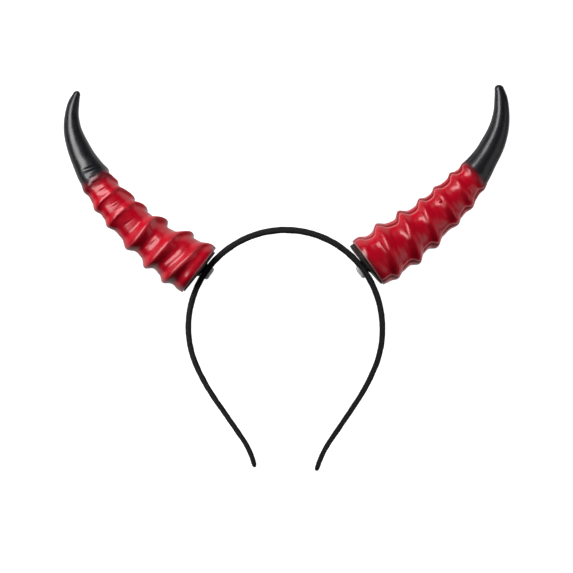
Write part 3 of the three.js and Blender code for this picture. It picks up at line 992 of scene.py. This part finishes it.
def dark_material(name, dark, light, roughness, grain, gloss):
    """Dull dark plastic with a fine grain and faint handling marks."""
    material, tree, shader = new_material(name)
    place = object_place(tree)
    cloud = noise(tree, place, scale=120, detail=4)
    marks = noise(tree, place, scale=260, detail=4)
    fine = noise(tree, place, scale=grain, detail=2)
    tree.links.new(mix_colours(tree, spread(tree, cloud, 0, 1), dark, light), shader.inputs["Base Color"])
    tree.links.new(spread(tree, marks, *roughness), shader.inputs["Roughness"])
    tree.links.new(bump(tree, fine, strength=0.25, distance=0.0002), shader.inputs["Normal"])
    shader.inputs["Specular IOR Level"].default_value = gloss
    return material


def glue_material():
    """Clear grey glue, a little cloudy."""
    material, tree, shader = new_material("set_glue")
    place = object_place(tree)
    cloud = noise(tree, place, scale=380, detail=3)
    ripples = noise(tree, place, scale=500, detail=2)
    colour = mix_colours(tree, spread(tree, cloud, 0, 1), GLUE_DARK, GLUE_LIGHT)
    tree.links.new(colour, shader.inputs["Base Color"])
    tree.links.new(spread(tree, cloud, *GLUE_ROUGHNESS), shader.inputs["Roughness"])
    tree.links.new(bump(tree, ripples, strength=0.1, distance=0.0003), shader.inputs["Normal"])
    shader.inputs["Transmission Weight"].default_value = GLUE_CLEAR
    shader.inputs["IOR"].default_value = GLUE_IOR
    return material


def make_sides():
    """Horn, base plate, stub and glue pad of each side."""
    lacquer = horn_material()
    plate_dark = dark_material("base_plate", **PLATE_FINISH)
    stub_dark = dark_material("stub_black", **STUB_FINISH)
    glue = glue_material()
    for side in SIDES:
        name = side["name"]
        over = turned("Y", side["turn"])
        band_distance = np.array(CROWN_RADIUS * math.radians(90 - side["seat"]))
        band_half = float(column(BAND_SECTIONS, "thick", band_distance)) / 2
        lean = side["horn"] + side["slant"] - side["seat"]
        mouth = over @ turned("Z", side["seat"]) @ moved(side["mouth"]) @ turned("Z", lean)
        horn = horn_mesh(side, mouth @ turned("Z", -side["slant"]))
        finish_piece(horn, f"horn_shell_{name}", lacquer)
        plate = plate_mesh(side, mouth @ moved(-GAP))
        finish_piece(plate, f"base_plate_{name}", plate_dark)
        stub_seat = over @ turned("Z", side["stub"])
        plate_place = stub_seat.inverted() @ mouth
        plate_normal = plate_place.to_3x3() @ Vector((1, side["wedge"] / (2 * PLATE_RADIUS), 0))
        plate_back = plate_place @ Vector((-PLATE_THICKNESS - side["wedge"] / 2 - 2 * GAP, 0, 0))
        plate_face = plate_back.dot(plate_normal) / plate_normal.x
        stub = stub_mesh(side, stub_seat, CROWN_RADIUS + band_half + GAP, plate_face, plate_normal)
        finish_piece(stub, f"mount_stub_{name}", stub_dark)
        pad = pad_mesh(side, over @ turned("Z", side["pad"]), CROWN_RADIUS - band_half - GAP)
        finish_piece(pad, f"glue_pad_{name}", glue)


def make_floor():
    """Plain pale floor that takes no part in the light on the piece."""
    mesh = bpy.data.meshes.new("floor")
    corners = [(x * FLOOR_REACH, y * FLOOR_REACH, FLOOR) for x, y in ((-1, -1), (1, -1), (1, 1), (-1, 1))]
    mesh.from_pydata(corners, [], [(0, 1, 2, 3)])
    floor = bpy.data.objects.new("floor", mesh)
    bpy.context.scene.collection.objects.link(floor)
    material, tree, shader = new_material("pale_floor")
    cloud = noise(tree, object_place(tree), scale=9, detail=3)
    colour = mix_colours(tree, spread(tree, cloud, 0, 1), FLOOR_DARK, FLOOR_LIGHT)
    tree.links.new(colour, shader.inputs["Base Color"])
    shader.inputs["Roughness"].default_value = 0.7
    shader.inputs["Specular IOR Level"].default_value = 0.2
    shader.inputs["Emission Color"].default_value = WHITE
    shader.inputs["Emission Strength"].default_value = FLOOR_GLOW
    mesh.materials.append(material)
    floor.visible_diffuse = False
    floor.visible_glossy = False


def make_light(name, place, size, watts, colour, gloss):
    """Soft box that is turned to the middle of the piece."""
    data = bpy.data.lights.new(name, "AREA")
    data.shape = "ELLIPSE"
    data.size = size[0] * MM
    data.size_y = size[1] * MM
    data.energy = watts
    light = bpy.data.objects.new(name, data)
    light.visible_glossy = gloss
    light.visible_diffuse = colour
    light.location = LAID @ Vector(place) * MM
    middle = LAID @ Vector((*FRAME_MIDDLE, 0)) * MM
    light.rotation_euler = (middle - light.location).to_track_quat("-Z", "Y").to_euler()
    bpy.context.scene.collection.objects.link(light)


def make_world():
    """Dim room over a pale floor."""
    world = bpy.data.worlds.new("studio")
    world.use_nodes = True
    tree = world.node_tree
    direction = add_node(tree, "ShaderNodeTexCoord").outputs["Generated"]
    height = add_node(tree, "ShaderNodeSeparateXYZ", {0: direction}).outputs["Z"]
    shade = remap(tree, height, *ROOM_BLEND, ROOM_BELOW, ROOM_ABOVE)
    tree.links.new(shade, tree.nodes["Background"].inputs["Strength"])
    tree.nodes["Background"].inputs["Color"].default_value = WHITE
    bpy.context.scene.world = world


def make_camera():
    """Eye square to the hoop's face, but for a small turn."""
    data = bpy.data.cameras.new("eye")
    data.sensor_fit = "HORIZONTAL"
    data.angle = 2 * math.atan(FRAME_WIDTH / 2 / EYE_DISTANCE)
    data.clip_end = SIGHT_METRES
    eye = bpy.data.objects.new("eye", data)
    aim = LAID @ Matrix.Translation((*FRAME_MIDDLE, 0)) @ turned("Y", EYE_TURN)
    eye.matrix_world = Matrix.Translation(aim @ Vector((0, 0, EYE_DISTANCE)) * MM) @ aim.to_3x3().to_4x4()
    bpy.context.scene.collection.objects.link(eye)
    bpy.context.scene.camera = eye


finish_piece(band_mesh(), "headband", ribbon_material())
make_sides()
make_floor()
make_world()
for light in LIGHTS:
    make_light(**light)
make_camera()
bpy.context.scene.view_settings.view_transform = "Standard"
